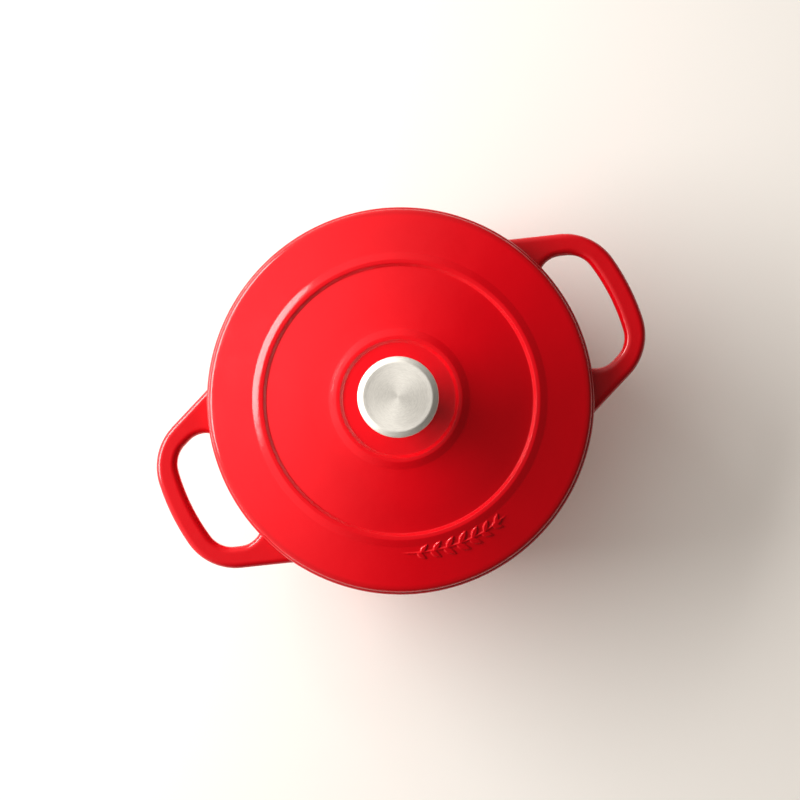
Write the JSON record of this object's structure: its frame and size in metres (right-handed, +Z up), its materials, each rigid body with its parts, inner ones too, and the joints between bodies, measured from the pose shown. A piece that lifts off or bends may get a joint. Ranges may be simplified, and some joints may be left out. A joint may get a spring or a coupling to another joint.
{
  "type": "dutch oven",
  "caption": "Round enamelled cast iron pot with two loop handles and a low domed lid that lifts off by a steel knob screwed on from below.",
  "frame": {"origin": "centre of the foot ring, on the surface that the pot stands on", "axes": "+Z up along the pot's axis; the two loop handles lie along +X and -X"},
  "size_m": [0.3368, 0.252, 0.1672],
  "materials": {
    "red_enamel": "glossy red enamel outside, sand coloured enamel inside, bare dark rim and foot ring",
    "red_enamel_lid": "glossy red enamel on top, sand coloured enamel below, dark edge",
    "knob_steel": "satin stainless steel",
    "zinc_steel": "plain zinc plated steel",
    "gasket": "matt heat-proof ring"
  },
  "bodies": {
    "pot": {"pot_body": "red_enamel"},
    "knob": {"knob_shell": "knob_steel", "knob_cap": "knob_steel", "knob_insert": "zinc_steel", "knob_gasket": "gasket"},
    "lid": {"lid": "red_enamel_lid"},
    "washers": {"knob_flat_washer": "zinc_steel", "knob_spring_washer": "zinc_steel"},
    "screw": {"knob_screw": "zinc_steel"}
  },
  "joints": [
    {"name": "lid_lift", "type": "slide", "parent": "pot", "child": "knob", "axis": [0, 0, 1], "range_m": [0, 0.15]},
    {"name": "lid_turn", "type": "hinge", "parent": "knob", "child": "lid", "pos_m": [0, 0, 0.108], "axis": [0, 0, 1], "continuous": true},
    {"name": "washer_drop", "type": "slide", "parent": "knob", "child": "washers", "axis": [0, 0, -1], "range_m": [0, 0.014]},
    {"name": "screw_turn", "type": "hinge", "parent": "washers", "child": "screw", "pos_m": [0, 0, 0.12], "axis": [0, 0, -1], "range_deg": [0, 5070]}
  ],
  "couplings": [
    {"joint": "screw_turn", "follows": "washer_drop", "rad_per_m": 6283.2}
  ]
}
